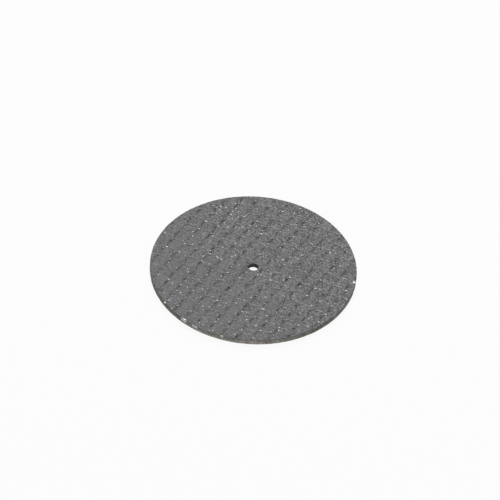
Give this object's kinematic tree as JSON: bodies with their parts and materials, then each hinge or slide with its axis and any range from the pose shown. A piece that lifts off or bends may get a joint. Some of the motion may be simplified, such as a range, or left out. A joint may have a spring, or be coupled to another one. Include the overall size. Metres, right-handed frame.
{
  "type": "cutting disc",
  "caption": "Thin flat cut-off disc of bonded grit with a glass mesh pressed into both faces and a small centre bore.",
  "frame": {"origin": "on the bore axis, level with the lowest knots of the lower face", "axes": "+Z along the bore axis, out of the upper face; +X along the weft of the upper face's mesh"},
  "size_m": [0.038, 0.038, 0.0011],
  "materials": {
    "bonded_grit": "matte"
  },
  "bodies": {
    "root": {"cutting_disc": "bonded_grit"}
  },
  "joints": []
}
